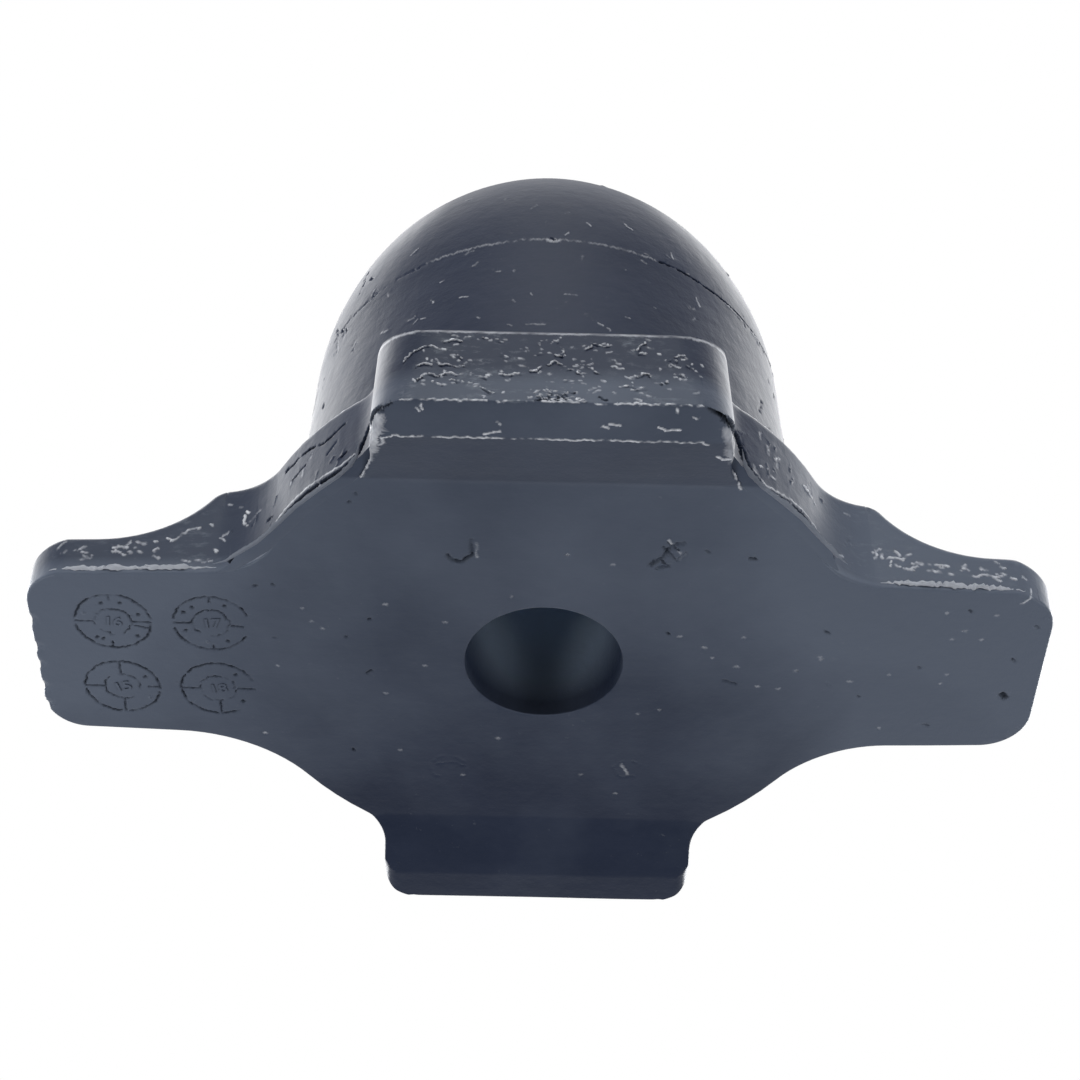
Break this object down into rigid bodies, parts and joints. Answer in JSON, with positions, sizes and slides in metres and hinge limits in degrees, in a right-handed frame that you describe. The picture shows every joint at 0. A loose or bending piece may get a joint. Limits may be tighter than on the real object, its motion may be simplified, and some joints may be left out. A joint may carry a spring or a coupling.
{
  "type": "leaf spring bump stop",
  "caption": "Moulded rubber bump stop: a tall domed buffer on a cross-shaped base with two clamping wings and two seat lugs.",
  "frame": {"origin": "on the plane of the pad lands, half-way between the wing tips and half-way between the lug faces", "axes": "+Z along the dome's axis towards its top, X along the wings, Y across the lugs"},
  "size_m": [0.1614, 0.1164, 0.1086],
  "materials": {
    "rubber": "satin moulded rubber, blue-black"
  },
  "bodies": {
    "root": {"bump_stop": "rubber"}
  },
  "joints": []
}
